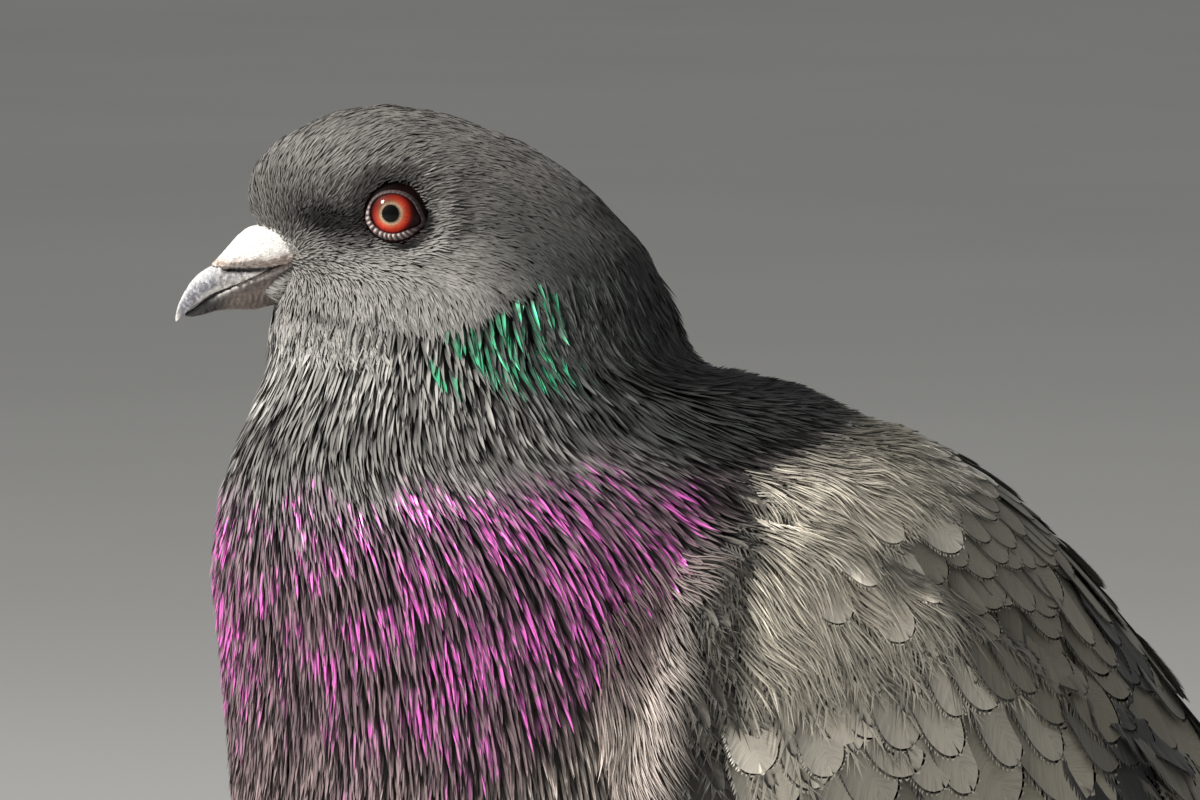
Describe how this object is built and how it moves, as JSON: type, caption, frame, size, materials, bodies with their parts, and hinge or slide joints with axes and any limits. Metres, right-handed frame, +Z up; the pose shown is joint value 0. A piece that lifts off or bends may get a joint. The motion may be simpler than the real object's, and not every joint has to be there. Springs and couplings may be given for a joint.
{
  "type": "pigeon",
  "caption": "Feral rock pigeon standing alert with its head turned aside, a still life-size bird with folded wings.",
  "frame": {"origin": "on the floor under the middle of the bird's box", "axes": "+Z up, the body faces -Y, the bird's left side is at +X"},
  "size_m": [0.1112, 0.242, 0.2182],
  "materials": {
    "head_plumage": "short dense grey feathers, matte",
    "neck_plumage": "narrow grey feathers with a green to purple gloss",
    "breast_plumage": "grey-mauve feathers with a magenta gloss",
    "body_plumage": "soft mid-grey feathers, matte",
    "wing_plumage": "pale ash-grey coverts, matte",
    "rump_plumage": "pale grey feathers, matte",
    "flight_feathers": "grey and black flight feathers, satin",
    "tail_feathers": "slate tail feathers with a dark end, satin",
    "eye": "orange-red iris, black pupil, wet gloss",
    "eye_ring": "beaded grey-pink bare skin",
    "bill_horn": "dark slate horn with a pale edge",
    "cere": "chalk-white powdery skin",
    "leg_skin": "dull red scaled skin",
    "claw": "dark horn"
  },
  "bodies": {
    "root": {"head": "head_plumage", "neck": "neck_plumage", "breast": "breast_plumage", "belly": "body_plumage", "rump": "rump_plumage", "tail": "tail_feathers", "eye_left": "eye", "eye_ring_left": "eye_ring", "cere_left": "cere", "wing_coverts_left": "wing_plumage", "scapulars_left": "wing_plumage", "wing_secondaries_left": "flight_feathers", "wing_primaries_left": "flight_feathers", "thigh_left": "body_plumage", "shank_left": "leg_skin", "toe_middle_left": "leg_skin", "claw_middle_left": "claw", "toe_inner_left": "leg_skin", "claw_inner_left": "claw", "toe_outer_left": "leg_skin", "claw_outer_left": "claw", "toe_hind_left": "leg_skin", "claw_hind_left": "claw", "eye_right": "eye", "eye_ring_right": "eye_ring", "cere_right": "cere", "wing_coverts_right": "wing_plumage", "scapulars_right": "wing_plumage", "wing_secondaries_right": "flight_feathers", "wing_primaries_right": "flight_feathers", "thigh_right": "body_plumage", "shank_right": "leg_skin", "toe_middle_right": "leg_skin", "claw_middle_right": "claw", "toe_inner_right": "leg_skin", "claw_inner_right": "claw", "toe_outer_right": "leg_skin", "claw_outer_right": "claw", "toe_hind_right": "leg_skin", "claw_hind_right": "claw", "bill_upper": "bill_horn", "bill_lower": "bill_horn"}
  },
  "joints": []
}
